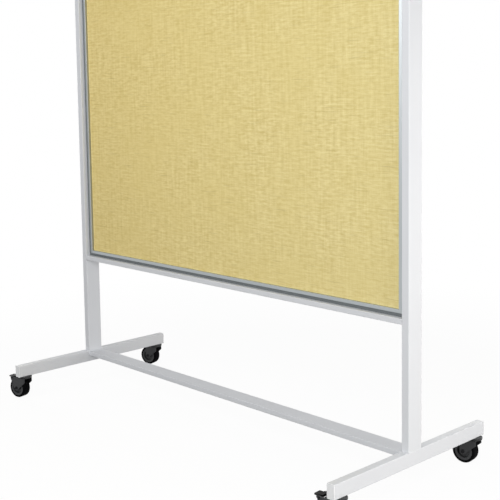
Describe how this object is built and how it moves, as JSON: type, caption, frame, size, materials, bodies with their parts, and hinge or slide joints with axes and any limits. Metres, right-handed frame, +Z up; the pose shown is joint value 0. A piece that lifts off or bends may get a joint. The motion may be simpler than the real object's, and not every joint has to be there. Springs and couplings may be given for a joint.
{
  "type": "mobile display board",
  "caption": "Free-standing pinboard covered in hessian on both faces, held in a rectangular tube frame on low feet with swivel casters, with foot brakes at the front.",
  "frame": {"origin": "on the floor, midway between the swivel axes of the casters", "axes": "+X along the board to its right as seen from the front, +Y from the front to the rear, +Z up"},
  "size_m": [1.9693, 0.8126, 1.842],
  "materials": {
    "frame_paint": "satin powder coat",
    "cap_plastic": "fine matt",
    "trim_aluminium": "satin anodised",
    "hessian": "coarse plain weave",
    "core_board": "soft fibre board",
    "spacer_rubber": "matt",
    "zinc_steel": "zinc plated",
    "caster_paint": "satin black",
    "axle_steel": "blackened",
    "washer_plastic": "smooth",
    "hub_plastic": "fine matt",
    "tyre_rubber": "matt",
    "pedal_plastic": "fine matt"
  },
  "bodies": {
    "frame": {"left_post": "frame_paint", "right_post": "frame_paint", "left_foot": "frame_paint", "right_foot": "frame_paint", "stretcher": "frame_paint", "bottom_rail": "frame_paint", "top_rail": "frame_paint", "post_top_caps": "cap_plastic", "foot_end_caps": "cap_plastic", "board_core": "core_board", "front_hessian": "hessian", "rear_hessian": "hessian", "trim_left": "trim_aluminium", "trim_right": "trim_aluminium", "trim_top": "trim_aluminium", "trim_bottom": "trim_aluminium", "trim_corner_keys": "zinc_steel", "board_spacers": "spacer_rubber", "board_screws": "zinc_steel", "stem_nuts": "zinc_steel", "caster_kingpins": "zinc_steel", "swivel_washers": "washer_plastic", "front_left_swivel_head": "caster_paint", "front_right_swivel_head": "caster_paint", "rear_left_swivel_head": "caster_paint", "rear_right_swivel_head": "caster_paint"},
    "front_left_caster": {"front_left_fork": "caster_paint", "front_left_axle": "axle_steel", "front_left_axle_sleeve": "zinc_steel", "front_left_pedal_pin": "axle_steel"},
    "front_left_wheel": {"front_left_wheel_hub": "hub_plastic", "front_left_tyre": "tyre_rubber"},
    "front_left_pedal": {"front_left_brake_pedal": "pedal_plastic"},
    "front_right_caster": {"front_right_fork": "caster_paint", "front_right_axle": "axle_steel", "front_right_axle_sleeve": "zinc_steel", "front_right_pedal_pin": "axle_steel"},
    "front_right_wheel": {"front_right_wheel_hub": "hub_plastic", "front_right_tyre": "tyre_rubber"},
    "front_right_pedal": {"front_right_brake_pedal": "pedal_plastic"},
    "rear_left_caster": {"rear_left_fork": "caster_paint", "rear_left_axle": "axle_steel", "rear_left_axle_sleeve": "zinc_steel"},
    "rear_left_wheel": {"rear_left_wheel_hub": "hub_plastic", "rear_left_tyre": "tyre_rubber"},
    "rear_right_caster": {"rear_right_fork": "caster_paint", "rear_right_axle": "axle_steel", "rear_right_axle_sleeve": "zinc_steel"},
    "rear_right_wheel": {"rear_right_wheel_hub": "hub_plastic", "rear_right_tyre": "tyre_rubber"}
  },
  "joints": [
    {"name": "front_left_swivel", "type": "hinge", "parent": "frame", "child": "front_left_caster", "pos_m": [-0.927, -0.367, 0.094], "axis": [0, 0, 1], "continuous": true},
    {"name": "front_left_wheel_spin", "type": "hinge", "parent": "front_left_caster", "child": "front_left_wheel", "pos_m": [-0.95999, -0.37522, 0.0435], "axis": [-0.2419, 0.9703, 0], "continuous": true},
    {"name": "front_left_brake", "type": "hinge", "parent": "front_left_caster", "child": "front_left_pedal", "pos_m": [-0.98425, -0.38127, 0.0878], "axis": [0.2419, -0.9703, 0], "range_deg": [0, 7.5]},
    {"name": "front_right_swivel", "type": "hinge", "parent": "frame", "child": "front_right_caster", "pos_m": [0.927, -0.367, 0.094], "axis": [0, 0, 1], "continuous": true},
    {"name": "front_right_wheel_spin", "type": "hinge", "parent": "front_right_caster", "child": "front_right_wheel", "pos_m": [0.89313, -0.36996, 0.0435], "axis": [-0.0872, 0.9962, 0], "continuous": true},
    {"name": "front_right_brake", "type": "hinge", "parent": "front_right_caster", "child": "front_right_pedal", "pos_m": [0.86823, -0.37214, 0.0878], "axis": [0.0872, -0.9962, 0], "range_deg": [0, 7.5]},
    {"name": "rear_left_swivel", "type": "hinge", "parent": "frame", "child": "rear_left_caster", "pos_m": [-0.927, 0.367, 0.094], "axis": [0, 0, 1], "continuous": true},
    {"name": "rear_left_wheel_spin", "type": "hinge", "parent": "rear_left_caster", "child": "rear_left_wheel", "pos_m": [-0.95951, 0.35706, 0.0435], "axis": [-0.2924, 0.9563, 0], "continuous": true},
    {"name": "rear_right_swivel", "type": "hinge", "parent": "frame", "child": "rear_right_caster", "pos_m": [0.927, 0.367, 0.094], "axis": [0, 0, 1], "continuous": true},
    {"name": "rear_right_wheel_spin", "type": "hinge", "parent": "rear_right_caster", "child": "rear_right_wheel", "pos_m": [0.89333, 0.36227, 0.0435], "axis": [-0.1392, 0.9903, 0], "continuous": true}
  ]
}
